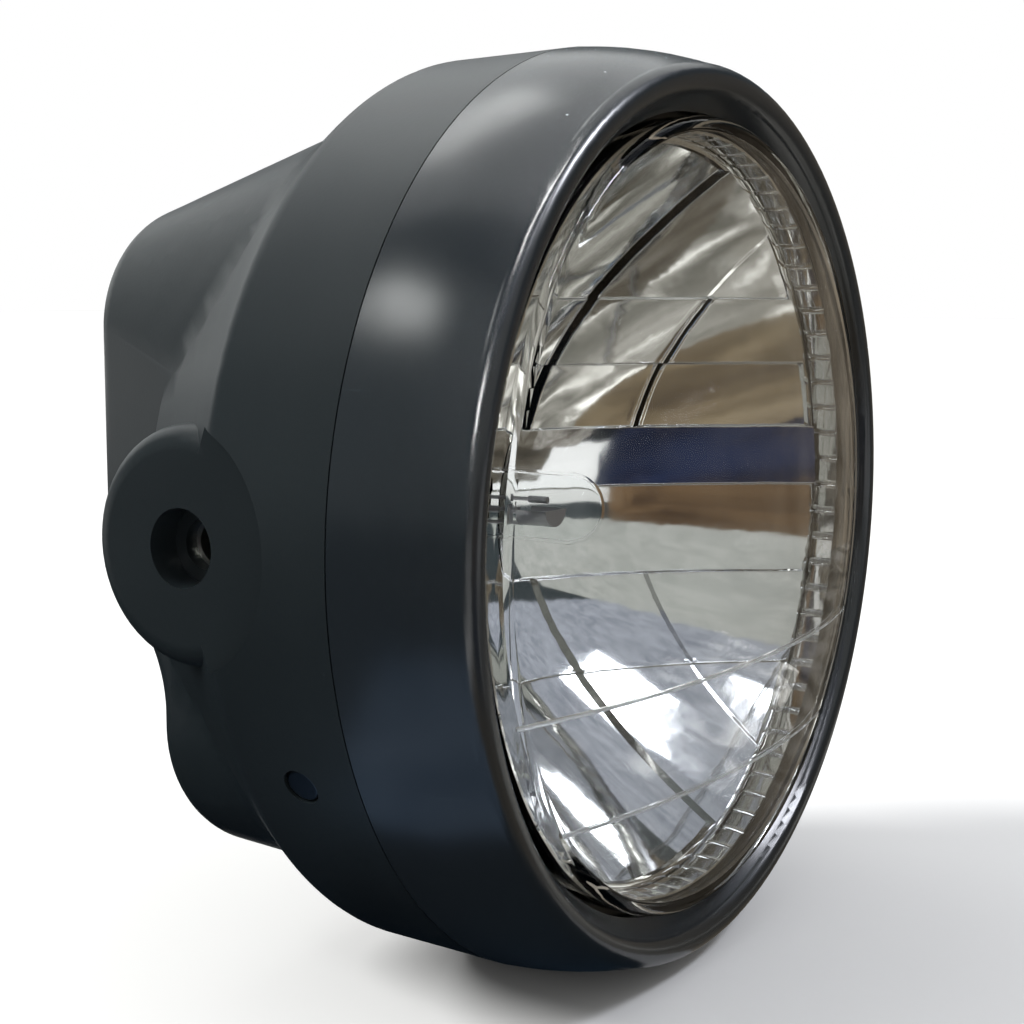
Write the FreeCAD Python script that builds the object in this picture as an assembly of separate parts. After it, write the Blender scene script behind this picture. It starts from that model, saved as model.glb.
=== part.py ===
import FreeCAD, Part
import math
import os
from FreeCAD import Vector

# Round motorcycle headlight. The front faces -Y, +Z is up, and the origin is the middle of the pivot axis.
# A depth is measured rearwards from the lip plane of the rim, and a radius from the lamp axis. Millimetres.

# Pivot bosses
pivot_setback = 64.8
boss_inset = 5.3
boss_radius = 23.5
boss_edge_round = 5.0
boss_floor = 10.0
spot_face_margin = 0.7
pivot_bore_radius = 7.7
pivot_bore_depth = 7.0
pivot_hole_radius = 5.0
pivot_nut_flats = 13.0
pivot_nut_height = 6.5
pivot_thread_radius = 4.0
nut_pocket_wall = 3.0
nut_pocket_play = 0.3

# Case ring and shoulder
case_wall = 3.0
ring_front_radius = 100.3
ring_draft = 0.7
shoulder_round = 7.0
shoulder_depth = 53.2
slope_angle = 31.7
slope_end_depth = 88.0

# Tapered hood behind the ring: half width, top and bottom at its root and at its rear
hood_root_depth = 60.0
hood_rear_depth = 121.0
hood_root_half_width = 84.2
hood_root_top = 86.7
hood_root_bottom = -74.3
hood_root_corner = 61.8
hood_root_low_corner = 42.7
hood_rear_half_width = 61.5
hood_rear_top = 64.0
hood_rear_bottom = -71.0
hood_rear_corner = 22.0
hood_rear_low_corner = 14.0
hood_edge_round = 12.0
knee_run = 25.0
knee_low = -36.0
knee_high = -4.0
knee_round = 12.0

# Wiring inlet and drain
inlet_radius = 14.0
inlet_height = 27.0
grommet_lip = 2.6
grommet_wall = 2.0
drain_radius = 3.0
drain_depth = 78.0

# Rim
rim_depth = 25.8
rim_wall = 2.6
rim_bulge = 0.9
seam_gap = 0.3
rim_taper = 4.7
lip_start_depth = 1.6
lip_width = 6.4
lip_reach = 1.6
lens_step = 3.3
rim_seat_depth = 6.0
rim_edge_thickness = 1.6
slope_band = 2.0
spigot_length = 8.2
spigot_wall = 2.2
spigot_root = 5.2
spigot_play = 0.4

# Rim screws, one on each side below the pivot
rim_screw_angle = 26.0
rim_screw_setback = 14.7
rim_screw_radius = 2.0
rim_screw_head_radius = 3.6
rim_screw_head_height = 1.2
rim_screw_sink = 1.3
rim_screw_play = 0.3
tongue_width = 13.0
tongue_end = 7.0
rim_nut_width = 7.0
rim_nut_height = 3.2
rim_screw_tail = 1.6

# Lens
lens_gap = 1.1
lens_thickness = 3.0
lens_crown = 13.5
lens_edge_depth = 1.0
lens_edge_round = 2.6
lens_overlap = 1.9
lens_flange_thickness = 2.5
gasket_thickness = 1.2
gasket_inset = 0.3
sealant_thickness = 1.0
sealant_width = 4.4
lens_rib_heights = (-30.0, -54.0)
lens_rib_width = 0.8
lens_rib_rise = 0.7

# Reflector: three paraboloids used in turn on a grid of facets
bowl_apex_depth = 74.0
bowl_margin = 1.25
facet_focal_step = 0.4
facet_apex_step = 0.4
facet_columns = (25.0, 50.0)
facet_rows = (-44.0, -22.0, 0.0, 15.0, 31.0, 47.0)
bowl_wall = 3.2
parabola_spans = 6
land_gap = 2.3
land_setback = 0.6
flange_thickness = 2.5
flange_overlap = 0.8
flange_skirt = 4.4
flange_skirt_wall = 3.0
neck_radius = 21.0
neck_wall = 3.4
neck_length = 7.0
boot_collar_radius = 37.5
boot_collar_wall = 2.5

# Four screws hold the light unit in the rim
unit_boss_inset = 0.1
unit_screw_angle = 45.0
unit_screw_radius = 1.4
unit_screw_head_radius = 2.7
unit_screw_head_height = 2.0
thread_play = 0.15
unit_screw_bite = 4.2
unit_boss_radius = 2.7
lug_width = 8.0

# Bulb: depths are measured forwards from its collar
seat_thickness = 1.2
seat_bore_radius = 18.6
collar_radius = 21.5
collar_thickness = 1.0
lug_reach = 2.0
lug_angles = (90.0, 210.0, 330.0)
lug_breadth = 7.0
bulb_cap_radius = 9.6
bulb_cap_length = 12.0
bulb_sleeve_radius = 17.6
bulb_sleeve_length = 3.0
sheet_thickness = 0.8
glass_radius = 8.2
glass_wall = 0.9
glass_length = 50.0
glass_base = 9.0
glass_play = 0.3
insulator_radius = 9.0
insulator_length = 14.0
terminal_width = 8.0
terminal_thickness = 0.8
terminal_length = 12.0
terminal_offset = 5.5
filament_radius = 0.8
filament_length = 5.6
dip_filament_reach = 33.5
main_filament_reach = 25.0
filament_offset = 1.4
shield_radius = 4.6
shield_length = 9.0
shield_wall = 0.5
support_radius = 0.45

# Bulb clip
wire_radius = 0.8
clip_half_width = 11.5
clip_low = -17.0
clip_shoulder = 14.0
clip_screw_height = 29.3
clip_screw_radius = 1.6
clip_screw_head_radius = 3.6
clip_screw_head_height = 2.0
clip_screw_bite = 5.0
clip_post_radius = 4.2
clip_play = 0.1
hook_width = 6.0
hook_thickness = 2.0
hook_lip = 2.2

# Dust boot
boot_wall = 2.4
boot_grip = 7.0
boot_play = 0.3

# Places that follow from the sizes above
case_front_depth = rim_depth + seam_gap
ring_rear_radius = ring_front_radius - ring_draft
shoulder_centre = ring_rear_radius - shoulder_round
knee_depth = hood_rear_depth - knee_run
spot_face_radius = boss_radius + spot_face_margin
boss_face = ring_front_radius - boss_inset
bore_inner_x = boss_face - pivot_bore_depth
boss_inner_x = boss_face - boss_floor
nut_inner_x = boss_inner_x - pivot_nut_height
lip_radius = ring_front_radius - rim_taper
lip_inner_radius = lip_radius - lip_width
lens_opening_radius = lip_inner_radius - lens_step
lens_radius = lens_opening_radius - lens_gap
lens_flange_radius = lens_opening_radius + lens_overlap
flange_radius = lens_flange_radius + flange_overlap
unit_screw_circle = flange_radius + unit_boss_radius - unit_boss_inset
land_radius = lens_radius - lens_thickness - land_gap
ring_bore = ring_rear_radius - case_wall
spigot_radius = ring_bore - spigot_play
spigot_bore = spigot_radius - spigot_wall
spigot_end = rim_depth + spigot_length
rim_screw_depth = rim_depth + rim_screw_setback
tongue_top = math.sqrt(spigot_radius ** 2 - (tongue_width / 2) ** 2)
tongue_bottom = tongue_top - spigot_wall
lens_flange_depth = rim_seat_depth + gasket_thickness
lens_back_depth = lens_flange_depth + lens_flange_thickness
flange_depth = lens_back_depth + sealant_thickness
flange_back = flange_depth + flange_thickness
land_depth = flange_depth + land_setback
bowl_focal = (land_radius + bowl_margin) ** 2 / (4 * (bowl_apex_depth - land_depth))
neck_end = bowl_apex_depth - neck_radius ** 2 / (4 * bowl_focal) + neck_length
collar_depth = neck_end + seat_thickness
collar_back = collar_depth + collar_thickness
wire_depth = collar_back + wire_radius + clip_play
clip_bottom = clip_low - clip_half_width

lamp_axis = Vector(0, 1, 0)
side_axis = Vector(1, 0, 0)
up_axis = Vector(0, 0, 1)
far = 4 * ring_front_radius
touch = 1e-3


def at(radius, depth):
    """Point of a turned profile: radius from the lamp axis, depth behind the lip plane."""
    return Vector(radius, depth - pivot_setback, 0)


def spot(x, depth, z):
    """Point in space given by its depth behind the lip plane."""
    return Vector(x, depth - pivot_setback, z)


def closed_wire(start, *steps):
    """Closed outline from start: a point is a straight run, a pair is an arc through its first point."""
    edges = []
    here = start
    for step in steps + (start,):
        if isinstance(step, tuple):
            via, there = step
            edges.append(Part.Arc(here, via, there).toShape())
        else:
            there = step
            if here.distanceToPoint(there) > touch:
                edges.append(Part.LineSegment(here, there).toShape())
        here = there
    return Part.Wire(edges)


def turned(start, *steps):
    """Solid turned about the lamp axis from a closed outline."""
    return Part.Face(closed_wire(start, *steps)).revolve(Vector(0, 0, 0), lamp_axis, 360)


def tube(outer, inner, front, back):
    """Plain ring about the lamp axis between two depths."""
    return turned(at(inner, front), at(outer, front), at(outer, back), at(inner, back))


def rod(radius, start, end):
    """Round bar between two points."""
    return Part.makeCylinder(radius, start.distanceToPoint(end), start, end - start)


def block(x0, x1, front, back, z0, z1):
    """Box between two depths."""
    return Part.makeBox(x1 - x0, back - front, z1 - z0, spot(x0, front, z0))


def about_lamp(shape, angle):
    """Copy turned about the lamp axis, so that 0 degrees is +X and 90 degrees is +Z."""
    copy = shape.copy()
    copy.rotate(Vector(0, 0, 0), lamp_axis, -angle)
    return copy


def mirrored(shape):
    """Copy on the other side of the lamp."""
    return shape.mirror(Vector(0, 0, 0), side_axis)


def hexagon_bar(flats, start_x, end_x):
    """Six-sided bar along X on the pivot axis."""
    corner = flats / math.sqrt(3)
    corners = [
        Vector(start_x, corner * math.cos(math.radians(60 * k)), corner * math.sin(math.radians(60 * k)))
        for k in range(7)
    ]
    return Part.Face(Part.makePolygon(corners)).extrude(Vector(end_x - start_x, 0, 0))


def hood_section(depth, half_width, top, bottom, corner, low_corner):
    """Rounded rectangle across the lamp axis, with its upper and lower corners as quarter arcs."""
    slant = corner * (1 - math.sqrt(0.5))
    low_slant = low_corner * (1 - math.sqrt(0.5))
    upper_x = half_width - corner
    lower_x = half_width - low_corner
    return closed_wire(
        spot(upper_x, depth, top),
        spot(-upper_x, depth, top),
        (spot(slant - half_width, depth, top - slant), spot(-half_width, depth, top - corner)),
        spot(-half_width, depth, bottom + low_corner),
        (spot(low_slant - half_width, depth, bottom + low_slant), spot(-lower_x, depth, bottom)),
        spot(lower_x, depth, bottom),
        (
            spot(half_width - low_slant, depth, bottom + low_slant),
            spot(half_width, depth, bottom + low_corner),
        ),
        spot(half_width, depth, top - corner),
        (spot(half_width - slant, depth, top - slant), spot(upper_x, depth, top)),
    )


def knee_cut(inset):
    """Wedge taken off the lower rear of the hood, rounded where the slope meets the lower wall."""
    corners = [
        spot(0, far, knee_high + inset),
        spot(0, hood_rear_depth - inset, knee_high + inset),
        spot(0, knee_depth - inset, knee_low + inset),
        spot(0, knee_depth - inset, -far),
        spot(0, far, -far),
    ]
    wedge = Part.Face(Part.makePolygon(corners + corners[:1])).extrude(Vector(2 * far, 0, 0))
    wedge.translate(Vector(-far, 0, 0))
    bend = [edge for edge in wedge.Edges if edge.CenterOfMass.distanceToPoint(corners[2]) < touch]
    return wedge.makeFillet(knee_round + inset, bend)


def hood(inset):
    """Tapered hood with a stepped and rounded rear, or its hollow when inset by the wall."""
    root = hood_section(
        hood_root_depth, hood_root_half_width - inset, hood_root_top - inset,
        hood_root_bottom + inset, hood_root_corner - inset, hood_root_low_corner - inset,
    )
    rear = hood_section(
        hood_rear_depth - inset, hood_rear_half_width - inset, hood_rear_top - inset,
        hood_rear_bottom + inset, hood_rear_corner - inset, hood_rear_low_corner - inset,
    )
    body = Part.makeLoft([root, rear], True, True).cut(knee_cut(inset))
    brow = spot(0, hood_rear_depth - inset, knee_high + inset)
    brow_edge = [edge for edge in body.Edges if edge.CenterOfMass.distanceToPoint(brow) < touch]
    body = body.makeFillet(knee_round - inset, brow_edge)
    rear_limit = knee_depth - inset - pivot_setback - touch
    rear_faces = [face for face in body.Faces if face.BoundBox.YMin > rear_limit]
    rear_edges = [edge for face in rear_faces for edge in face.Edges]
    outline = [
        edge for edge in rear_edges
        if sum(edge.isSame(other) for other in rear_edges) == 1
    ]
    return body.makeFillet(hood_edge_round - inset, outline)


def case_form(inset):
    """Ring, sloped shoulder and hood as one form, or their hollow when inset by the wall."""
    lean = shoulder_round - inset
    turn = math.radians(slope_angle)
    end_depth = slope_end_depth - inset

    def crest(angle):
        return at(shoulder_centre + lean * math.cos(angle), shoulder_depth + lean * math.sin(angle))

    slope_start = crest(turn)
    run = end_depth - (slope_start.y + pivot_setback)
    ring = turned(
        at(0, case_front_depth),
        at(ring_front_radius - inset, case_front_depth),
        at(ring_rear_radius - inset, shoulder_depth),
        (crest(turn / 2), slope_start),
        at(slope_start.x - run * math.tan(turn), end_depth),
        at(0, end_depth),
    )
    return ring.fuse(hood(inset))


def boss_post(radius, inner_x, outer_x):
    """Round post along the pivot axis on the +X side."""
    return rod(radius, Vector(inner_x, 0, 0), Vector(outer_x, 0, 0))


def rim_screw_line(radius):
    """Point on the axis of the rim screw on the +X side, at a distance from the lamp axis."""
    angle = math.radians(rim_screw_angle)
    return spot(radius * math.cos(angle), rim_screw_depth, -radius * math.sin(angle))


def make_case():
    """Moulded case with spot-faced pivot bosses, screw recesses, wiring inlet and drain."""
    boss = boss_post(boss_radius, 0, boss_face)
    outer_edge = [edge for edge in boss.Edges if abs(edge.CenterOfMass.x - boss_face) < touch]
    boss = boss.makeFillet(boss_edge_round, outer_edge)
    spot_face = boss_post(spot_face_radius, boss_face, far)
    outside = case_form(0).cut(spot_face.fuse(mirrored(spot_face)))
    outside = outside.fuse(boss.fuse(mirrored(boss)))

    pocket_radius = pivot_nut_flats / math.sqrt(3) + nut_pocket_play + nut_pocket_wall
    pad = boss_post(spot_face_radius + case_wall, boss_inner_x, far)
    pad = pad.fuse(boss_post(pocket_radius, nut_inner_x, far))
    front_plug = tube(ring_bore, 0, 0, shoulder_depth)
    hollow = case_form(case_wall).fuse(front_plug).cut(pad.fuse(mirrored(pad)))

    side_cuts = boss_post(pivot_bore_radius, bore_inner_x, far)
    side_cuts = side_cuts.fuse(boss_post(pivot_hole_radius, 0, far))
    side_cuts = side_cuts.fuse(hexagon_bar(pivot_nut_flats + 2 * nut_pocket_play, 0, boss_inner_x))
    sink_floor = ring_rear_radius - rim_screw_sink
    side_cuts = side_cuts.fuse(
        rod(rim_screw_head_radius + rim_screw_play, rim_screw_line(sink_floor), rim_screw_line(far))
    )
    side_cuts = side_cuts.fuse(
        rod(rim_screw_radius + rim_screw_play, rim_screw_line(ring_bore / 2), rim_screw_line(far))
    )
    inlet = rod(inlet_radius, spot(0, slope_end_depth, inlet_height), spot(0, far, inlet_height))
    drain = rod(drain_radius, spot(0, drain_depth, hood_root_bottom / 2), spot(0, drain_depth, -far))
    return outside.cut([hollow, side_cuts, mirrored(side_cuts), inlet, drain])


def make_grommet():
    """Rubber ring that lines the wiring inlet, with a lip on each side of the wall."""
    bore = inlet_radius - grommet_wall
    lip = inlet_radius + grommet_lip
    front = hood_rear_depth - case_wall
    ring = turned(
        at(bore, front - grommet_lip),
        at(lip, front - grommet_lip),
        at(lip, front),
        at(inlet_radius, front),
        at(inlet_radius, hood_rear_depth),
        at(lip, hood_rear_depth),
        at(lip, hood_rear_depth + grommet_lip / 2),
        at(bore, hood_rear_depth + grommet_lip),
    )
    ring.translate(Vector(0, 0, inlet_height))
    return ring


def unit_screw_spot(angle, depth):
    """Point on the axis of one of the screws that hold the light unit."""
    turn = math.radians(angle)
    return spot(unit_screw_circle * math.cos(turn), depth, unit_screw_circle * math.sin(turn))


unit_screw_angles = [unit_screw_angle + 90 * k for k in range(4)]


def make_rim():
    """Rim with a rolled lip, a seat for the lens, a spigot into the case and two screw tongues."""
    lip_middle = lip_radius - lip_width / 2
    wall_mid_depth = (rim_depth + lip_start_depth) / 2
    wall_mid_radius = (ring_front_radius + lip_radius) / 2 + rim_bulge
    inner_front = lip_radius - rim_wall
    inner_back_depth = rim_depth - spigot_root
    inner_mid_depth = (rim_seat_depth + inner_back_depth) / 2
    inner_back = ring_front_radius - rim_wall
    inner_mid = (inner_front + inner_back) / 2 + rim_bulge
    edge_depth = rim_seat_depth - rim_edge_thickness
    ring = turned(
        at(ring_front_radius, rim_depth),
        (at(wall_mid_radius, wall_mid_depth), at(lip_radius, lip_start_depth)),
        (at(lip_middle, -lip_reach), at(lip_inner_radius, lip_start_depth / 2)),
        at(lip_inner_radius - slope_band, edge_depth - rim_edge_thickness / 2),
        at(lens_opening_radius, edge_depth),
        at(lens_opening_radius, rim_seat_depth),
        at(inner_front, rim_seat_depth),
        (at(inner_mid, inner_mid_depth), at(inner_back, inner_back_depth)),
        at(spigot_bore, rim_depth - spigot_root / 2),
        at(spigot_bore, spigot_end),
        at(spigot_radius, spigot_end),
        at(spigot_radius, rim_depth),
    )
    tongue = block(
        tongue_bottom, tongue_top, spigot_end - spigot_length / 2, rim_screw_depth + tongue_end,
        -tongue_width / 2, tongue_width / 2,
    )
    tongue_tip = rim_screw_depth + tongue_end - pivot_setback
    corners = [
        edge for edge in tongue.Edges
        if abs(edge.CenterOfMass.y - tongue_tip) < touch and abs(edge.Length - spigot_wall) < touch
    ]
    tongue = tongue.makeFillet(tongue_width / 4, corners)
    middle = spot(0, rim_screw_depth, 0)
    hole = rod(rim_screw_radius + rim_screw_play, middle, middle + side_axis * far)
    tongue = about_lamp(tongue.cut(hole), -rim_screw_angle)
    posts = [
        rod(unit_boss_radius, unit_screw_spot(angle, rim_seat_depth - rim_edge_thickness / 2),
            unit_screw_spot(angle, flange_depth))
        for angle in unit_screw_angles
    ]
    bores = [
        rod(unit_screw_radius + thread_play, unit_screw_spot(angle, flange_depth - unit_screw_bite),
            unit_screw_spot(angle, flange_depth))
        for angle in unit_screw_angles
    ]
    return ring.fuse([tongue, mirrored(tongue)] + posts).cut(bores)


def both_sides(shape):
    """A group of the +X piece and its mirror image."""
    return Part.makeCompound([shape, mirrored(shape)])


def make_rim_screws():
    """Two round-headed screws sunk in the case."""
    floor = ring_rear_radius - rim_screw_sink
    head = rod(rim_screw_head_radius, rim_screw_line(floor), rim_screw_line(floor + rim_screw_head_height))
    rim_edge = [edge for edge in head.Edges if edge.Closed]
    outer_edge = max(rim_edge, key=lambda edge: Vector(edge.CenterOfMass).Length)
    head = head.makeFillet(rim_screw_head_height / 2, [outer_edge])
    shank_end = tongue_bottom - rim_nut_height - rim_screw_tail
    return both_sides(head.fuse(rod(rim_screw_radius, rim_screw_line(shank_end), rim_screw_line(floor))))


def make_rim_nuts():
    """Two square nuts held under the tongues of the rim."""
    nut = block(
        tongue_bottom - rim_nut_height, tongue_bottom,
        rim_screw_depth - rim_nut_width / 2, rim_screw_depth + rim_nut_width / 2,
        -rim_nut_width / 2, rim_nut_width / 2,
    )
    middle = spot(0, rim_screw_depth, 0)
    hole = rod(rim_screw_radius + thread_play, middle, middle + side_axis * far)
    return both_sides(about_lamp(nut.cut(hole), -rim_screw_angle))


def make_pivot_nuts():
    """Two six-sided nuts in the pockets behind the pivot bosses."""
    nut = hexagon_bar(pivot_nut_flats, nut_inner_x, boss_inner_x)
    return both_sides(nut.cut(boss_post(pivot_thread_radius, 0, far)))


def lens_dome(inset):
    """Dome profile: edge, arc over the crown to the lamp axis, moved inwards by inset."""
    edge = lens_radius - lens_edge_round
    edge_depth = lens_edge_depth - lens_edge_round
    rise = lens_crown + edge_depth
    ball = (edge ** 2 + rise ** 2) / (2 * rise) - inset
    crown = inset - lens_crown
    half = edge / 2
    return {
        "edge": at(edge - inset * edge / (ball + inset), edge_depth + inset),
        "half": at(half, crown + ball - math.sqrt(ball ** 2 - half ** 2)),
        "crown": at(0, crown),
    }


def make_lens():
    """Clear lens: domed front, short skirt, flange behind the rim and two fine inner ribs."""
    outer = lens_dome(0)
    inner = lens_dome(lens_thickness)
    raised = lens_dome(lens_thickness + lens_rib_rise)
    corner = lens_edge_round * (1 - math.sqrt(0.5))
    edge_depth = lens_edge_depth - lens_edge_round
    skirt_bore = lens_radius - lens_thickness
    body = turned(
        outer["crown"],
        (outer["half"], outer["edge"]),
        (at(lens_radius - corner, edge_depth + corner), at(lens_radius, lens_edge_depth)),
        at(lens_radius, lens_flange_depth),
        at(lens_flange_radius, lens_flange_depth),
        at(lens_flange_radius, lens_back_depth),
        at(skirt_bore, lens_back_depth),
        at(skirt_bore, inner["edge"].y + pivot_setback + lens_edge_round / 2),
        inner["edge"],
        (inner["half"], inner["crown"]),
    )
    lining = turned(
        inner["crown"],
        (inner["half"], inner["edge"]),
        raised["edge"],
        (raised["half"], raised["crown"]),
    )
    ribs = [
        lining.common(block(-far, far, -far, far, height - lens_rib_width / 2, height + lens_rib_width / 2))
        for height in lens_rib_heights
    ]
    return body.fuse(ribs)


def make_gasket():
    """Soft ring between the rim's seat and the lens flange."""
    outer = lens_flange_radius - gasket_inset
    return tube(outer, lens_opening_radius + gasket_inset, rim_seat_depth, lens_flange_depth)


def make_sealant():
    """Bead that bonds the lens flange to the reflector flange."""
    outer = lens_flange_radius - gasket_inset
    return tube(outer, outer - sealant_width, lens_back_depth, flange_depth)


def bowl(step):
    """Bowl wall whose front is the paraboloid of a facet step, cut off flat at the land."""
    focal = bowl_focal - step * facet_focal_step
    apex = bowl_apex_depth - step * facet_apex_step
    outer = land_radius + flange_skirt_wall / 2
    edge = min(math.sqrt(4 * focal * (apex - land_depth)), outer)

    def parabola(rim_radius, focal_length, apex_depth):
        reach = rim_radius - neck_radius
        radii = [neck_radius + reach * k / parabola_spans for k in range(parabola_spans + 1)]
        line = Part.BSplineCurve()
        line.interpolate([at(r, apex_depth - r ** 2 / (4 * focal_length)) for r in radii])
        return line.toShape()

    front = parabola(edge, focal, apex)
    back = parabola(outer, bowl_focal, bowl_apex_depth + bowl_wall)
    front_start, front_end = [vertex.Point for vertex in front.Vertexes]
    back_start, back_end = [vertex.Point for vertex in back.Vertexes]
    corner = at(outer, land_depth)
    links = [(back_start, front_start), (front_end, corner), (corner, back_end)]
    links = [link for link in links if link[0].distanceToPoint(link[1]) > touch]
    edges = [front, back] + [Part.LineSegment(*link).toShape() for link in links]
    outline = Part.Wire(Part.__sortEdges__(edges))
    return Part.Face(outline).revolve(Vector(0, 0, 0), lamp_axis, 360)


def make_reflector():
    """Faceted bowl, flange with four lugs, bulb neck, boot collar, clip post and clip hook."""
    bowls = [bowl(step) for step in range(3)]
    columns = [-far] + [-x for x in reversed(facet_columns)] + list(facet_columns) + [far]
    rows = [-far] + list(facet_rows) + [far]
    cells = []
    for r in range(len(rows) - 1):
        for c in range(len(columns) - 1):
            away = abs(2 * c - len(columns) + 2) // 2
            step = away % 2 + r % 2
            cell = block(columns[c], columns[c + 1], -far, far, rows[r], rows[r + 1])
            piece = bowls[step].common(cell)
            if piece.Solids:
                cells.append(piece)
    faceted = cells[0].multiFuse(cells[1:])

    flange = turned(
        at(land_radius, land_depth),
        at(land_radius + flange_skirt_wall / 2, flange_depth),
        at(flange_radius, flange_depth),
        at(flange_radius, flange_back),
        at(land_radius + flange_skirt_wall, flange_back),
        at(land_radius + flange_skirt_wall, flange_back + flange_skirt),
        at(land_radius, flange_back + flange_skirt),
    )
    lug_outer = unit_screw_circle + unit_boss_radius
    lug_inner = land_radius + flange_skirt_wall
    lug = block(lug_inner, lug_outer, flange_depth, flange_back, -lug_width / 2, lug_width / 2)
    hole_start = spot(unit_screw_circle, 0, 0)
    hole = rod(unit_screw_radius + thread_play, hole_start, spot(unit_screw_circle, flange_back, 0))
    lugs = [about_lamp(lug, angle) for angle in unit_screw_angles]
    holes = [about_lamp(hole, angle) for angle in unit_screw_angles]

    def back_of_bowl(radius):
        return bowl_apex_depth + bowl_wall - radius ** 2 / (4 * bowl_focal)

    neck_front = back_of_bowl(neck_radius) - bowl_wall / 2
    neck = tube(neck_radius + neck_wall, neck_radius, neck_front, neck_end)
    collar_bore = boot_collar_radius - boot_collar_wall
    collar = tube(boot_collar_radius, collar_bore, back_of_bowl(collar_bore) - bowl_wall / 2, collar_back)
    post_top = wire_depth - wire_radius - clip_play
    post = rod(clip_post_radius, spot(0, back_of_bowl(clip_screw_height) - bowl_wall / 2, clip_screw_height),
               spot(0, post_top, clip_screw_height))
    thread = rod(clip_screw_radius + thread_play, spot(0, post_top - clip_screw_bite, clip_screw_height),
                 spot(0, post_top, clip_screw_height))
    hook_face = clip_bottom - wire_radius - clip_play
    hook_top = wire_depth + wire_radius + clip_play
    hook = block(-hook_width / 2, hook_width / 2, back_of_bowl(-hook_face) - bowl_wall / 2, hook_top,
                 hook_face - hook_thickness, hook_face)
    lip = block(-hook_width / 2, hook_width / 2, hook_top, hook_top + hook_thickness / 2,
                hook_face - hook_thickness, hook_face + hook_lip)
    added = [flange] + lugs + [neck, collar, post, hook, lip]
    return faceted.multiFuse(added).cut(holes + [thread])


def make_unit_screws():
    """Four screws that hold the reflector lugs on the posts of the rim."""
    screws = []
    for angle in unit_screw_angles:
        tip = unit_screw_spot(angle, flange_depth - unit_screw_bite + thread_play)
        under_head = unit_screw_spot(angle, flange_back)
        head_top = unit_screw_spot(angle, flange_back + unit_screw_head_height)
        shank = rod(unit_screw_radius, tip, under_head)
        screws.append(shank.fuse(rod(unit_screw_head_radius, under_head, head_top)))
    return Part.makeCompound(screws)


def make_bulb_seat():
    """Metal ring on the end of the neck, which the bulb's collar rests on."""
    return tube(neck_radius + neck_wall, seat_bore_radius, neck_end, collar_depth)


def make_bulb_cap():
    """Sheet metal cap: collar with three lugs, locating sleeve and a sleeve that holds the glass."""
    shell = turned(
        at(bulb_cap_radius - sheet_thickness, collar_depth - bulb_cap_length),
        at(bulb_cap_radius, collar_depth - bulb_cap_length),
        at(bulb_cap_radius, collar_depth - bulb_sleeve_length),
        at(bulb_sleeve_radius, collar_depth - bulb_sleeve_length),
        at(bulb_sleeve_radius, collar_depth),
        at(collar_radius, collar_depth),
        at(collar_radius, collar_back),
        at(bulb_cap_radius - sheet_thickness, collar_back),
    )
    lug = block(collar_radius - lug_reach, collar_radius + lug_reach, collar_depth, collar_back,
                -lug_breadth / 2, lug_breadth / 2)
    return shell.fuse([about_lamp(lug, angle) for angle in lug_angles])


def make_bulb_glass():
    """Clear tube with a rounded tip and a closed foot inside the cap."""
    radius = min(glass_radius, bulb_cap_radius - sheet_thickness - glass_play)
    tip = collar_depth - glass_length
    foot = collar_depth - glass_base

    def capsule(inset):
        r = radius - inset
        slant = r * math.sqrt(0.5)
        centre = tip + radius
        return turned(
            at(0, centre - r),
            (at(slant, centre - slant), at(r, centre)),
            at(r, foot - 2 * inset),
            at(0, foot - 2 * inset),
        )

    return capsule(0).cut(capsule(glass_wall))


def make_insulator():
    """Insulating plug that fills the rear of the cap and carries the terminals."""
    inner = bulb_cap_radius - sheet_thickness
    return turned(
        at(0, collar_depth - glass_base),
        at(inner, collar_depth - glass_base),
        at(inner, collar_back),
        at(insulator_radius + sheet_thickness, collar_back),
        at(insulator_radius, collar_back + insulator_length),
        at(0, collar_back + insulator_length),
    )


def make_terminals():
    """Three flat terminals in a U on the rear of the insulator."""
    foot = collar_back + insulator_length
    flat = block(-terminal_width / 2, terminal_width / 2, foot, foot + terminal_length,
                 terminal_offset - terminal_thickness / 2, terminal_offset + terminal_thickness / 2)
    upright = block(terminal_offset - terminal_thickness / 2, terminal_offset + terminal_thickness / 2,
                    foot, foot + terminal_length, -terminal_width / 2, terminal_width / 2)
    return Part.makeCompound([flat, upright, mirrored(upright)])


def make_filaments():
    """Driving and dipped coils, each drawn as a fine bar."""
    coils = []
    for reach, height in ((main_filament_reach, -filament_offset), (dip_filament_reach, filament_offset)):
        middle = collar_depth - reach
        coils.append(rod(filament_radius, spot(0, middle - filament_length / 2, height),
                         spot(0, middle + filament_length / 2, height)))
    return Part.makeCompound(coils)


def make_dip_shield():
    """Half cup under the dipped coil."""
    middle = collar_depth - dip_filament_reach
    front = middle - shield_length / 2
    back = middle + shield_length / 2
    cup = tube(shield_radius, shield_radius - shield_wall, front, back)
    end = tube(shield_radius, 0, front - shield_wall, front)
    half = block(-far, far, -far, far, -far, -filament_offset / 2)
    return cup.fuse(end).common(half)


def make_supports():
    """Lead wires from the foot of the glass to the coils and the shield."""
    start = collar_depth - glass_base - 2 * glass_wall
    main_end = collar_depth - main_filament_reach + filament_length / 2
    shield_back = collar_depth - dip_filament_reach + shield_length / 2
    side = shield_radius - shield_wall / 2
    main_lead = rod(support_radius, spot(0, main_end, -filament_offset), spot(0, start, -filament_offset))
    dip_end = collar_depth - dip_filament_reach + filament_length / 2
    dip_lead = rod(support_radius, spot(0, dip_end, filament_offset), spot(0, start, filament_offset))
    shield_lead = rod(support_radius, spot(0, shield_back, -side), spot(0, start, -side))
    return Part.makeCompound([main_lead, dip_lead, shield_lead])


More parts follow.
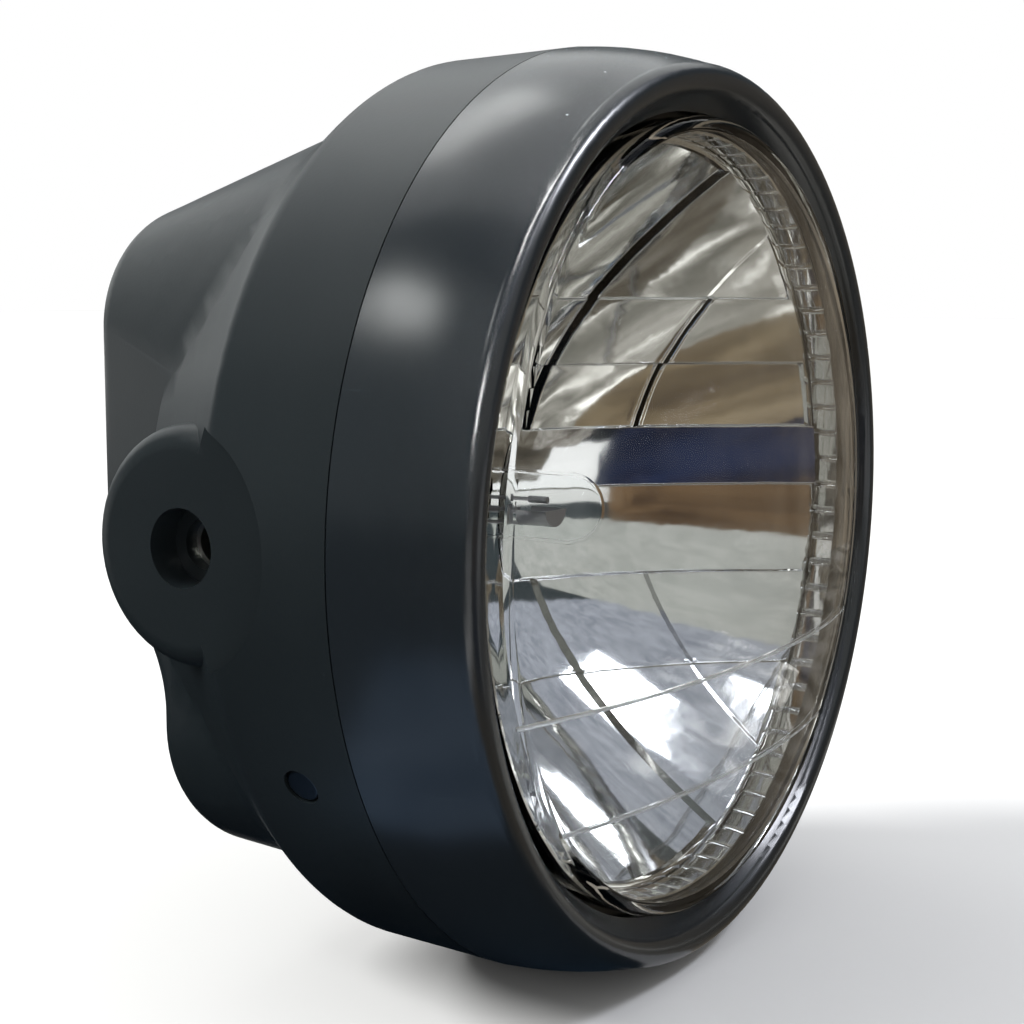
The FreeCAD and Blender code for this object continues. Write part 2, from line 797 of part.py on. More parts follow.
def make_clip():
    """Spring wire: a U that presses on the collar, with both legs drawn together under the clip screw."""
    pinch = clip_screw_radius + wire_radius + clip_play
    top = clip_screw_height + clip_screw_head_radius
    bend = clip_screw_height - clip_post_radius

    def leg(sign):
        return [
            spot(sign * pinch, wire_depth, top),
            spot(sign * pinch, wire_depth, bend),
            spot(sign * clip_half_width, wire_depth, clip_shoulder),
            spot(sign * clip_half_width, wire_depth, clip_low),
        ]

    left = leg(-1)
    right = leg(1)
    runs = [Part.makePolygon(left), Part.makePolygon(list(reversed(right)))]
    turn = Part.Arc(left[-1], spot(0, wire_depth, clip_bottom), right[-1]).toShape()
    path = Part.Wire(runs[0].Edges + [turn] + runs[1].Edges)
    section = Part.Wire(Part.makeCircle(wire_radius, left[0], left[1] - left[0]))
    return path.makePipeShell([section], True, False, 2)


def make_clip_screw():
    """Screw whose head holds both legs of the clip on their post."""
    under_head = wire_depth + wire_radius
    post_top = wire_depth - wire_radius - clip_play
    shank = rod(clip_screw_radius, spot(0, post_top - clip_screw_bite + thread_play, clip_screw_height),
                spot(0, under_head, clip_screw_height))
    head = rod(clip_screw_head_radius, spot(0, under_head, clip_screw_height),
               spot(0, under_head + clip_screw_head_height, clip_screw_height))
    return shank.fuse(head)


def make_boot():
    """Rubber boot stretched over the reflector's collar and round the insulator."""
    grip_bore = boot_collar_radius + boot_play
    collar_bore = boot_collar_radius - boot_collar_wall
    grip = grip_bore + boot_wall
    shelf = collar_back + boot_play
    hub_bore = insulator_radius + sheet_thickness + boot_play
    hub = hub_bore + boot_wall
    hub_front = wire_depth + wire_radius + clip_screw_head_height + boot_play
    return turned(
        at(grip_bore, collar_back - boot_grip),
        at(grip, collar_back - boot_grip),
        at(grip, shelf + boot_wall),
        at(collar_bore, hub_front + boot_wall),
        at(hub + boot_wall, hub_front + boot_wall),
        at(hub, collar_back + insulator_length - boot_wall),
        at(hub, collar_back + insulator_length),
        at(hub_bore, collar_back + insulator_length),
        at(hub_bore, hub_front),
        at(collar_bore - boot_wall / 2, hub_front),
        at(collar_bore, shelf),
        at(grip_bore, shelf),
    )


pieces = {
    "case": make_case,
    "rim": make_rim,
    "lens": make_lens,
    "reflector": make_reflector,
    "lens_gasket": make_gasket,
    "lens_sealant": make_sealant,
    "unit_screws": make_unit_screws,
    "rim_screws": make_rim_screws,
    "rim_nuts": make_rim_nuts,
    "pivot_nuts": make_pivot_nuts,
    "wiring_grommet": make_grommet,
    "bulb_seat": make_bulb_seat,
    "bulb_cap": make_bulb_cap,
    "bulb_glass": make_bulb_glass,
    "bulb_insulator": make_insulator,
    "bulb_terminals": make_terminals,
    "filaments": make_filaments,
    "filament_supports": make_supports,
    "dip_shield": make_dip_shield,
    "bulb_clip": make_clip,
    "clip_screw": make_clip_screw,
    "dust_boot": make_boot,
}

os.makedirs("parts", exist_ok=True)
for name, make in pieces.items():
    make().exportStep("parts/" + name + ".step")
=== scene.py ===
"""Looks of a round motorcycle headlight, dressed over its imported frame."""

import math

import bpy
import numpy as np
from mathutils import Matrix, Vector


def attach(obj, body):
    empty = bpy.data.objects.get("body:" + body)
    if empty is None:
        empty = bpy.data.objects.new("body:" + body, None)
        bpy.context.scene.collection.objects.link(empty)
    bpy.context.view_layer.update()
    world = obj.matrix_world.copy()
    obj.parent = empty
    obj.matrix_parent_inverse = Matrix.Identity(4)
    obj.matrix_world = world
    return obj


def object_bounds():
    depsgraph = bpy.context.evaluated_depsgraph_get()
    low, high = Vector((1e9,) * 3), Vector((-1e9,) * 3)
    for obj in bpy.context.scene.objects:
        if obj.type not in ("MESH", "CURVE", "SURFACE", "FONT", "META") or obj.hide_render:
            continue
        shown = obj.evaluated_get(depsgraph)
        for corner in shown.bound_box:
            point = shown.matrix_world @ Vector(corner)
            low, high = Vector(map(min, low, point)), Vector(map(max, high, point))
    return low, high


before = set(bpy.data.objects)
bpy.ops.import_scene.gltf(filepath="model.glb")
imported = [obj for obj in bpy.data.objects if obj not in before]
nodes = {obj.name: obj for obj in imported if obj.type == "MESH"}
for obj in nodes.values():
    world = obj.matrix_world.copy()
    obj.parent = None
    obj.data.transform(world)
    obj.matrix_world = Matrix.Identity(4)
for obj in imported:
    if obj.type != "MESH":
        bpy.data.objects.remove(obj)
cad_box = [list(corner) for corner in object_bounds()]

MM = 0.001

# Lip plane of the rim, in millimetres: every depth below runs back from it
LIP_PLANE_Y = -64.8

# Shading: corners nearer than this many millimetres are joined, and edges sharper than this stay sharp
WELD_REACH = 0.001
SPLIT_ANGLE = math.radians(32)

# Colour sockets of a Mix node, by number, since sockets of other kinds share their names
MIX_FIRST = 6
MIX_SECOND = 7
MIX_RESULT = 2

# Marks on the rim in millimetres: spacing of dust, a speck's full and faded radius, a wipe mark's x, y, z
SPECK_CELL = 10.0
SPECK_RADII = (0.18, 0.32)
WIPE_SIZE = (50 / 3, 50 / 3, 2 / 3)

# Plain finishes: size in millimetres of the patches, and the share by which roughness wanders over them
FINISH_PATCH = 6.0
SHEEN_DRIFT = 0.2

# Reflector bowl in millimetres: facets lie between these lines, and every other one is stepped forward
FACET_COLUMNS = (-80.0, -50.0, -25.0, 25.0, 50.0, 80.0)
FACET_ROWS = (-80.0, -44.0, -22.0, 0.0, 15.0, 31.0, 47.0, 80.0)
FACET_STEP = 0.4
FACET_PITCH = 1.2
FACET_BULGE = 0.10
COLUMN_RAKE = 0.8
ROW_RAKE = 0.3
COLUMN_GAP = 0.9
ROW_GAP = 0.25
COLUMN_BEAD = 0.30
COLUMN_BEAD_WIDTH = 0.8
ROW_BEAD = 0.06
ROW_BEAD_WIDTH = 0.25
TOP_BEAD_REACH = 40.0
BOWL_APEX = 74.0
BOWL_FOCAL = 26.0
BOWL_INNER = 21.3
BOWL_OUTER = 79.4
COATING_LIFT = 0.6
COATING_WALL = 0.1

# Facets by number, counted from zero at the left and at the bottom, and mesh lines across a bead
MIDDLE_COLUMN = 2
LOW_PLAIN_ROW = 2
HIGH_PLAIN_ROW = 3
TOP_ROW = 6
BEAD_LINES = 9

# Painted shade in the column grooves: how far out it runs and how near the edge, in millimetres, how dark low
# down
GROOVE_REACH = 60.0
GROOVE_MARGIN = 0.001
LOW_GROOVE_SHADE = 0.5

# Blocks round the bowl's mouth, inside the lens skirt: lengths in millimetres, ends as a share of a block
BAND_BLOCKS = 76
BAND_RADIUS = 81.4
BAND_OUTSIDE = 81.55
BAND_STEP = 0.5
BAND_BOW = 0.25
BAND_DEPTHS = (4.6, 10.4)
BLOCK_END = 1 / 8
BLOCK_LINES = 24
BOW_LINES = 7

# Pale inner faces of the two lens ribs, painted highlights, in millimetres, on a ball behind the lens
RIB_HEIGHTS = {"upper_rib_face": -30.0, "lower_rib_face": -54.0}
RIB_WIDTH = 0.8
RIB_ARCH = 0.15
RIB_BALL = 286.2
RIB_CROWN = -9.8
RIB_REACH = 80.8
RIB_LINES = 161
RIB_CROSS_LINES = 9
FACE_WALL = 0.05

# Camera at the photograph's own angle, set off from the middle of the lip plane
CAMERA_AZIMUTH = math.radians(-57.73)
CAMERA_ELEVATION = math.radians(7.10)
CAMERA_ROLL = math.radians(0.18)
CAMERA_DISTANCE = 369.26 * MM
CAMERA_SIDE = -42.95 * MM
CAMERA_RISE = 1.57 * MM
SENSOR_WIDTH = 36.0
FOCAL_LENGTH = 60.37

# Stage in metres: the floor, the step between boards that lie on it, the room's ball, places to aim lamps at
FLOOR_Z = cad_box[0][2]
FLOOR_REACH = 12.0
SHEET = 0.001
ROOM_RADIUS = 20.0
LAMP_MIDDLE = (0, 0, 0)
LOW_BOWL = (0.03, -0.03, -0.05)

# Mesh lines of the room's ball, and angles in radians: its top and bottom, and the spread of daylight
ROOM_TURNS = 33
ROOM_HEIGHTS = 17
ROOM_TOP = 1.5
SUN_SPREAD = math.radians(22)

# Colours of the light from windows and from ceiling lamps
WINDOW_WHITE = "#f4f6f4"
CEILING_WHITE = "#f2f5ff"

# Range of noise that a board's colours share out, and the usual size of its patches in millimetres
PATCH_RANGE = (0.36, 0.64)
BOARD_PATCH = 70.0


def linear(hex_colour):
    """sRGB hex value to linear red, green, blue and an alpha of one."""
    channels = [int(hex_colour[k:k + 2], 16) / 255 for k in (1, 3, 5)]
    return tuple(c / 12.92 if c <= 0.04045 else ((c + 0.055) / 1.055) ** 2.4 for c in channels) + (1.0,)


def add(tree, kind, inputs=None, **settings):
    """Adds a node: settings are its properties, inputs are values or sockets to link, by name or number."""
    node = tree.nodes.new(kind)
    for key, value in settings.items():
        setattr(node, key, value)
    for key, value in (inputs or {}).items():
        if isinstance(value, bpy.types.NodeSocket):
            tree.links.new(value, node.inputs[key])
        else:
            node.inputs[key].default_value = value
    return node


def new_material(name):
    """An empty node material and its tree."""
    made = bpy.data.materials.new(name)
    made.use_nodes = True
    made.node_tree.nodes.clear()
    return made, made.node_tree


def shade(tree, kind, inputs, target="ShaderNodeOutputMaterial"):
    """Adds a shader with its inputs and leads it to the output of its material or world."""
    shader = add(tree, kind, inputs)
    add(tree, target, {"Surface": shader.outputs[0]})


def object_place(tree):
    """Socket with the place on the object, in metres."""
    return add(tree, "ShaderNodeTexCoord").outputs["Object"]


def patches(tree, where, size, detail, bend=0.0):
    """Socket with a value that drifts softly over patches of a size in millimetres."""
    noise = add(tree, "ShaderNodeTexNoise", {
        "Vector": where, "Scale": 1 / (size * MM), "Detail": detail, "Distortion": bend,
    })
    return noise.outputs["Fac"]


def between(tree, value, low, high):
    """Socket with a value from zero to one spread over a range."""
    return add(tree, "ShaderNodeMapRange", {"Value": value, "To Min": low, "To Max": high}).outputs["Result"]


def blend(tree, share, first, second):
    """Socket with a colour that goes from the first to the second as the share goes from zero to one."""
    inputs = {"Factor": share, MIX_FIRST: first, MIX_SECOND: second}
    mix = add(tree, "ShaderNodeMix", inputs, data_type="RGBA")
    return mix.outputs[MIX_RESULT]


def ramp(tree, value, stops):
    """Socket with a colour that runs through stops as the value rises: each is a place and a hex colour."""
    node = add(tree, "ShaderNodeValToRGB", {"Fac": value})
    elements = node.color_ramp.elements
    while len(elements) < len(stops):
        elements.new(0.5)
    while len(elements) > len(stops):
        elements.remove(elements[-1])
    for element, (place, colour) in zip(elements, stops):
        element.position = place
        element.color = linear(colour)
    return node.outputs["Color"]


def dress(node, made):
    """Gives a solid's object one material in place of its packed one."""
    node.data.materials.clear()
    node.data.materials.append(made)


def even_shading(node):
    """Shades loose faces as one surface, broken only at edges sharper than the split angle."""
    weld = node.modifiers.new("weld", "WELD")
    weld.merge_threshold = WELD_REACH * MM
    split = node.modifiers.new("split", "EDGE_SPLIT")
    split.split_angle = SPLIT_ANGLE
    node.modifiers.new("normals", "WEIGHTED_NORMAL")


def speckled(tree, where, colour, dust):
    """Socket with a colour and rare specks of dust, one wherever the surface runs close by a cell's point."""
    cells = add(tree, "ShaderNodeTexVoronoi", {
        "Vector": where, "Scale": 1 / (SPECK_CELL * MM), "Randomness": 1.0,
    })
    full, faded = (radius / SPECK_CELL for radius in SPECK_RADII)
    return ramp(tree, cells.outputs["Distance"], ((full, dust), (faded, colour)))


def moulded_black_plastic():
    """Black polypropylene from a finely sparked tool: it gives a soft wide sheen and a trace of grain."""
    made, tree = new_material("moulded_black_polypropylene")
    where = object_place(tree)
    smudge = patches(tree, where, 45, 3.0)
    grain = patches(tree, where, 0.8, 2.0)
    bump = add(tree, "ShaderNodeBump", {"Height": grain, "Strength": 0.06, "Distance": 0.2 * MM})
    shade(tree, "ShaderNodeBsdfPrincipled", {
        "Base Color": ramp(tree, smudge, ((0.0, "#0c1012"), (1.0, "#13181a"))),
        "Roughness": between(tree, smudge, 0.34, 0.44),
        "Normal": bump.outputs["Normal"], "IOR": 1.49, "Specular IOR Level": 0.35,
    })
    return made


def polished_black_plastic():
    """Black ABS from a polished tool: it gives soft window reflections, faint wipe marks and some dust."""
    made, tree = new_material("polished_black_abs")
    where = object_place(tree)
    haze = patches(tree, where, 30, 4.0)
    drawn = add(tree, "ShaderNodeMapping", {
        "Vector": where, "Scale": tuple(1 / (size * MM) for size in WIPE_SIZE),
    })
    wipe = add(tree, "ShaderNodeTexNoise", {"Vector": drawn.outputs["Vector"], "Scale": 1.0, "Detail": 2.0})
    marks = add(tree, "ShaderNodeMapRange", {
        "Value": wipe.outputs["Fac"], "From Min": 0.70, "From Max": 0.76, "To Min": 0.0, "To Max": 0.2,
    })
    dusty = speckled(tree, where, "#111518", "#8b9092")
    shade(tree, "ShaderNodeBsdfPrincipled", {
        "Base Color": blend(tree, marks.outputs["Result"], dusty, linear("#2a3238")),
        "Roughness": between(tree, haze, 0.20, 0.30), "IOR": 1.53,
    })
    return made


def clear_glass(name, bending):
    """Clear and polished: it shows what is behind it, bent a little, and a bright line where it turns."""
    made, tree = new_material(name)
    shade(tree, "ShaderNodeBsdfPrincipled", {
        "Base Color": linear("#fdfefe"), "Roughness": 0.0, "IOR": bending, "Specular IOR Level": 0.8,
        "Transmission Weight": 1.0,
    })
    return made


def vapour_coated_mirror():
    """Aluminium evaporated on moulded plastic: a bright, slightly wavy mirror with a breath of haze.

    Where the groove attribute is one, the bottom of a groove is painted dark, as painted shade in the crease.
    """
    made, tree = new_material("vapour_coated_aluminium")
    where = object_place(tree)
    haze = patches(tree, where, 18, 5.0)
    wave = patches(tree, where, 9, 2.0)
    bump = add(tree, "ShaderNodeBump", {"Height": wave, "Strength": 0.10, "Distance": 0.4 * MM})
    # Painted shade: the groove attribute darkens the mirror at the bottom of each groove
    painted_shade = add(tree, "ShaderNodeAttribute", attribute_name="groove_shade")
    shade(tree, "ShaderNodeBsdfPrincipled", {
        "Base Color": blend(tree, painted_shade.outputs["Fac"], linear("#d2d2d0"), linear("#100e0c")),
        "Metallic": 1.0, "Roughness": between(tree, haze, 0.02, 0.10), "Normal": bump.outputs["Normal"],
    })
    return made


def plain_finish(name, colour, roughness, metallic=0.0):
    """A small part's finish: one colour, with a roughness that wanders so that the shine isn't quite even."""
    made, tree = new_material(name)
    drift = patches(tree, object_place(tree), FINISH_PATCH, 3.0)
    least = roughness * (1 - SHEEN_DRIFT)
    most = roughness * (1 + SHEEN_DRIFT)
    shade(tree, "ShaderNodeBsdfPrincipled", {
        "Base Color": linear(colour), "Metallic": metallic, "Roughness": between(tree, drift, least, most),
    })
    return made


# Zinc plate gives a pale, soft metal shine, and rubber a dull black
zinc = plain_finish("zinc_plated_steel", "#b9b8b0", 0.32, 1.0)
rubber = plain_finish("moulded_nitrile_rubber", "#1b1b1b", 0.62)

# Both clear materials bend light less than the real ones, so what lies behind them shows in its place
finishes = {
    "case": moulded_black_plastic(),
    "rim": polished_black_plastic(),
    "lens": clear_glass("clear_polycarbonate", 1.2),
    "reflector": vapour_coated_mirror(),
    "lens_gasket": rubber,
    "lens_sealant": plain_finish("butyl_sealant", "#3a3a3a", 0.55),  # dull dark grey
    "unit_screws": zinc,
    "rim_screws": plain_finish("blackened_steel", "#4a4d50", 0.40, 1.0),  # dark metal with a soft shine
    "rim_nuts": zinc,
    "pivot_nuts": zinc,
    "wiring_grommet": rubber,
    "bulb_seat": zinc,
    "bulb_cap": plain_finish("bright_sheet_steel", "#c2c2c0", 0.28, 1.0),  # bright metal, a little brushed
    "bulb_glass": clear_glass("clear_quartz_glass", 1.03),
    "bulb_insulator": plain_finish("pale_phenolic", "#b3a78c", 0.5),  # cream, half matt
    "bulb_terminals": plain_finish("stamped_brass", "#c9a35a", 0.35, 1.0),  # warm yellow metal
    "filaments": plain_finish("tungsten_wire", "#8b8b8f", 0.4, 1.0),  # grey, dull metal
    "filament_supports": plain_finish("molybdenum_wire", "#a0a0a4", 0.35, 1.0),  # pale grey metal
    "dip_shield": plain_finish("molybdenum_sheet", "#9a9a9e", 0.35, 1.0),  # the same, a shade darker
    "bulb_clip": plain_finish("spring_steel_wire", "#a6a6a6", 0.3, 1.0),  # bright drawn wire
    "clip_screw": zinc,
    "dust_boot": rubber,
}
for name, made in finishes.items():
    dress(nodes[name], made)
    even_shading(nodes[name])


def place_camera():
    """Camera at the photograph's place: turned by azimuth, elevation and roll, then moved across its view."""
    turn, tilt, roll = CAMERA_AZIMUTH, CAMERA_ELEVATION, CAMERA_ROLL
    view = Vector((-math.sin(turn) * math.cos(tilt), math.cos(turn) * math.cos(tilt), -math.sin(tilt)))
    level = Vector((math.cos(turn), math.sin(turn), 0))
    upright = level.cross(view)
    right = level * math.cos(roll) + upright * math.sin(roll)
    up = upright * math.cos(roll) - level * math.sin(roll)
    aim = Vector((0, LIP_PLANE_Y * MM, 0))
    data = bpy.data.cameras.new("camera")
    data.sensor_width = SENSOR_WIDTH
    data.lens = FOCAL_LENGTH
    data.clip_start = 0.01
    data.clip_end = 50
    camera = bpy.data.objects.new("camera", data)
    camera.matrix_world = Matrix((
        (right.x, up.x, -view.x, 0), (right.y, up.y, -view.y, 0), (right.z, up.z, -view.z, 0), (0, 0, 0, 1),
    ))
    camera.location = aim - view * CAMERA_DISTANCE + right * CAMERA_SIDE + up * CAMERA_RISE
    bpy.context.scene.collection.objects.link(camera)
    bpy.context.scene.camera = camera


def mesh_object(name, points, quads, made):
    """Smooth mesh object from points in metres and four-cornered faces."""
    mesh = bpy.data.meshes.new(name)
    mesh.from_pydata(points.reshape(-1, 3).tolist(), [], quads.tolist())
    mesh.polygons.foreach_set("use_smooth", np.full(len(quads), True))
    mesh.materials.append(made)
    piece = bpy.data.objects.new(name, mesh)
    bpy.context.scene.collection.objects.link(piece)
    return piece


def join_lamp(piece):
    """Shades a new piece evenly and lets it ride with the lamp."""
    even_shading(piece)
    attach(piece, "root")


def thicken(piece, wall):
    """Gives a sheet a wall of so many millimetres, behind its outward side."""
    solid = piece.modifiers.new("wall", "SOLIDIFY")
    solid.thickness = wall * MM


def grid_quads(rows, columns):
    """Faces of a grid of points, each row's points running on from the last row's."""
    index = np.arange(rows * columns).reshape(rows, columns)
    corners = [index[:-1, :-1], index[1:, :-1], index[1:, 1:], index[:-1, 1:]]
    return np.stack(corners, axis=-1).reshape(-1, 4)


def facet_lines(edges, gap, bead):
    """Lines across a row of facets: for each its place, its facet's number, low edge and high edge.

    Each facet stops half a gap short of its edges. Its lines are close together in the bead, and inside
    they are about a pitch apart.
    """
    lines = []
    for number, (low, high) in enumerate(zip(edges[:-1], edges[1:])):
        low, high = low + gap / 2, high - gap / 2
        fine = bead * np.linspace(0, 1, BEAD_LINES)
        inner = np.linspace(low + bead, high - bead, int((high - low) / FACET_PITCH))[1:-1]
        place = np.concatenate([low + fine, inner, high - fine[::-1]])
        facet = np.full((len(place), 3), (number, low, high))
        lines.append(np.column_stack([place, facet]))
    return np.concatenate(lines).T


def half_round(margin, width):
    """Height of a bead, as a part of its full height: a half circle over the bead's width from the edge."""
    return np.sqrt(np.clip(1 - (2 * margin / width - 1) ** 2, 0, 1))


def mirror_facets(made):
    """The bowl's bright coating, as the facets that the eye sees.

    Depth at (x, z) is the facet's apex less (x squared plus z squared) over four focal lengths, as on the
    solid, less a small lift, less a bulge that falls off as the square of the way to the facet's edges, less
    a rake that fades evenly away from the lamp axis, and less a half-round bead along the facet's edges.
    The two rows about the axis run across without columns, and only the rows above them have beaded columns.
    Points past the bowl's inner or outer edge are moved along their radius onto that edge. The groove
    attribute is painted shade, set at the columns' edges, fully where they are beaded and in part in the low
    rows.
    """
    across = facet_lines(FACET_COLUMNS, COLUMN_GAP, COLUMN_BEAD_WIDTH)
    along = facet_lines(FACET_ROWS, ROW_GAP, ROW_BEAD_WIDTH)
    x, column, left, right = (np.tile(values, (along.shape[1], 1)) for values in across)
    z, row, low, high = (np.tile(values[:, None], (1, across.shape[1])) for values in along)
    radius = np.hypot(x, z)
    held = np.clip(radius, BOWL_INNER, BOWL_OUTER) / np.maximum(radius, 1e-6)
    x, z = x * held, z * held
    plain = (row == LOW_PLAIN_ROW) | (row == HIGH_PLAIN_ROW)
    sideways = column - MIDDLE_COLUMN
    step = np.where(plain, 1, abs(sideways) % 2) + row % 2
    focal = BOWL_FOCAL - FACET_STEP * step
    apex = BOWL_APEX - FACET_STEP * step
    u = np.where(plain, 0, (2 * x - left - right) / (right - left))
    v = (2 * z - low - high) / (high - low)
    bulge = FACET_BULGE * (2 - u ** 2 - v ** 2)
    column_rake = np.where(plain | (sideways == 0), 0, COLUMN_RAKE * (1 - np.sign(sideways) * u) / 2)
    row_rake = ROW_RAKE * (1 - np.where(row < HIGH_PLAIN_ROW, -v, v)) / 2
    beaded = (row > HIGH_PLAIN_ROW) & ~((row == TOP_ROW) & (abs(x) > TOP_BEAD_REACH))
    margin = np.minimum(x - left, right - x)
    side_bead = np.where(beaded, COLUMN_BEAD, 0) * half_round(margin, COLUMN_BEAD_WIDTH)
    end_bead = ROW_BEAD * half_round(np.minimum(z - low, high - z), ROW_BEAD_WIDTH)
    lift = COATING_LIFT + bulge + column_rake + row_rake + side_bead + end_bead
    depth = apex - (x ** 2 + z ** 2) / (4 * focal) - lift
    # Painted shade at the bottom of the grooves, full where beaded and in part in the low rows
    darkness = np.where(beaded, 1.0, np.where(row < LOW_PLAIN_ROW, LOW_GROOVE_SHADE, 0.0))
    groove_shade = np.where((margin < GROOVE_MARGIN) & (abs(x) < GROOVE_REACH), darkness, 0.0)
    points = np.stack([x, depth + LIP_PLANE_Y, z], axis=-1) * MM
    quads = grid_quads(*x.shape)
    inside = ((radius > BOWL_INNER) & (radius < BOWL_OUTER)).reshape(-1)
    quads = quads[inside[quads].any(axis=1)][:, ::-1]
    used, quads = np.unique(quads, return_inverse=True)
    piece = mesh_object("reflector_coating", points.reshape(-1, 3)[used], quads.reshape(-1, 4), made)
    painted_shade = piece.data.attributes.new("groove_shade", "FLOAT", "POINT")
    painted_shade.data.foreach_set("value", groove_shade.reshape(-1)[used])
    thicken(piece, COATING_WALL)
    join_lamp(piece)


def rim_band(made):
    """Blocks round the bowl's mouth: a closed ring, plain outside, whose inside steps in at each block.

    Each block's inside has rounded ends and bows in between its two depths.
    """
    turn = np.linspace(0, 2 * math.pi, BLOCK_LINES * BAND_BLOCKS + 1)
    place = turn * BAND_BLOCKS / (2 * math.pi) % 1
    inset = BAND_STEP * np.clip(np.minimum(place, 1 - place) / BLOCK_END, 0, 1) ** 0.5
    way = np.linspace(-1, 1, BOW_LINES)
    bow = BAND_BOW * (1 - way ** 2)
    depth = np.interp(np.concatenate([way, [1, -1, -1]]), [-1, 1], BAND_DEPTHS)
    inner = BAND_RADIUS - inset[None, :] - bow[:, None]
    outer = np.full((2, len(turn)), BAND_OUTSIDE)
    radius = np.concatenate([inner, outer, inner[:1]])
    turn, depth = np.meshgrid(turn, depth)
    points = np.stack([radius * np.cos(turn), depth + LIP_PLANE_Y, radius * np.sin(turn)], axis=-1) * MM
    points[:, -1] = points[:, 0]
    piece = mesh_object("reflector_rim_band", points, grid_quads(*turn.shape)[:, ::-1], made)
    join_lamp(piece)


def rib_face(name, height, made):
    """Pale inner face of a lens rib, a painted highlight: a strip along x, as deep at each place as the ball
    the ribs end on.

    Across its width it swells inwards by a shallow arch, highest in the middle.
    """
    half_length = math.sqrt(RIB_REACH ** 2 - height ** 2)
    length = np.linspace(-half_length, half_length, RIB_LINES)
    x, across = np.meshgrid(length, np.linspace(-1, 1, RIB_CROSS_LINES))
    z = height + RIB_WIDTH / 2 * across
    ball = RIB_CROWN + RIB_BALL - np.sqrt(RIB_BALL ** 2 - x ** 2 - z ** 2)
    depth = ball + RIB_ARCH * (1 - across ** 2) + FACE_WALL
    points = np.stack([x, depth + LIP_PLANE_Y, z], axis=-1) * MM
    piece = mesh_object(name, points, grid_quads(*x.shape), made)
    thicken(piece, FACE_WALL)
    join_lamp(piece)


def studio_floor():
    """Table top of pale matt paper, which gives an even ground for the shadow and runs out of every view."""
    made, tree = new_material("pale_matt_paper")
    shade(tree, "ShaderNodeBsdfPrincipled", {
        "Base Color": linear("#b8b8b7"), "Roughness": 0.9, "Specular IOR Level": 0.0,
    })
    reach = np.array([-FLOOR_REACH, FLOOR_REACH])
    x, y = np.meshgrid(reach, reach, indexing="ij")
    points = np.stack([x, y, np.full((2, 2), FLOOR_Z)], axis=-1)
    mesh_object("floor", points, grid_quads(2, 2), made)


def reflection_only(piece):
    """Keeps a stage piece out of direct view: it neither lights nor shades, and shows in shiny surfaces."""
    piece.visible_camera = piece.visible_diffuse = piece.visible_shadow = False


def mottled(name, colours, glow=1.0, patch=BOARD_PATCH):
    """Paint of a lit board or wall: it gives soft patches of its colours, of a size in millimetres."""
    made, tree = new_material(name)
    drift = patches(tree, object_place(tree), patch, 4.0, bend=1.2)
    stops = list(zip(np.linspace(*PATCH_RANGE, len(colours)), colours))
    shade(tree, "ShaderNodeEmission", {"Color": ramp(tree, drift, stops), "Strength": glow})
    made.cycles.emission_sampling = "NONE"
    return made


def board(name, corner, side, rise, *colours, glow=1.0, patch=BOARD_PATCH):
    """A flat board for reflections, from its corner along its side and its rise, in mottled colours."""
    corner, side, rise = (np.array(v) for v in (corner, side, rise))
    u, v = np.meshgrid([0, 1], [0, 1], indexing="ij")
    points = corner + u[..., None] * side + v[..., None] * rise
    paint = mottled(name + "_paint", colours, glow, patch)
    reflection_only(mesh_object(name, points, grid_quads(2, 2), paint))


def dark_room(colour):
    """A big dim ball round everything, for reflections: points at equal angles of turn and height."""
    turns = np.linspace(0, 2 * math.pi, ROOM_TURNS)
    heights = np.linspace(-ROOM_TOP, ROOM_TOP, ROOM_HEIGHTS)
    turn, height = np.meshgrid(turns, heights, indexing="ij")
    ball = np.stack([np.cos(height) * np.cos(turn), np.cos(height) * np.sin(turn), np.sin(height)], axis=-1)
    paint = mottled("dim_wall_paint", [colour])
    reflection_only(mesh_object("dark_room", ROOM_RADIUS * ball, grid_quads(*turn.shape), paint))


def daylight(way, strength):
    """Broad soft light that falls the given way, for the table's shadow. It isn't seen in reflections."""
    data = bpy.data.lights.new("daylight", "SUN")
    data.energy = strength
    data.angle = SUN_SPREAD
    lamp = bpy.data.objects.new("daylight", data)
    lamp.rotation_euler = Vector(way).to_track_quat("-Z", "Y").to_euler()
    lamp.visible_glossy = lamp.visible_transmission = False
    bpy.context.scene.collection.objects.link(lamp)


def softbox(name, place, aim, size, glow, colour, spin=0.0):
    """Rectangular lamp at a place, facing its aim and spun on that line. Its power grows with its area."""
    data = bpy.data.lights.new(name, "AREA")
    data.shape = "RECTANGLE"
    data.size, data.size_y = size
    data.energy = glow * math.pi * size[0] * size[1]
    data.color = linear(colour)[:3]
    lamp = bpy.data.objects.new(name, data)
    facing = (Vector(aim) - Vector(place)).to_track_quat("-Z", "Y").to_matrix().to_4x4()
    lamp.matrix_world = Matrix.Translation(place) @ facing @ Matrix.Rotation(math.radians(spin), 4, "Z")
    bpy.context.scene.collection.objects.link(lamp)


def studio_world():
    """Even white surroundings, as of a light tent."""
    world = bpy.data.worlds.new("light_tent")
    world.use_nodes = True
    tree = world.node_tree
    tree.nodes.clear()
    even_white = {"Color": linear("#ffffff"), "Strength": 1.0}
    shade(tree, "ShaderNodeBackground", even_white, "ShaderNodeOutputWorld")
    bpy.context.scene.world = world


mirror_facets(finishes["reflector"])
rim_band(finishes["reflector"])

# Pale paint on the ribs gives a painted highlight: a pale line that shows against the mirror
rib_highlight_paint = plain_finish("painted_rib_highlight", "#f1f5f7", 0.45)
for name, height in RIB_HEIGHTS.items():
    rib_face(name, height, rib_highlight_paint)
place_camera()
studio_floor()
studio_world()
daylight((0.50, -0.66, -0.62), 6.2)

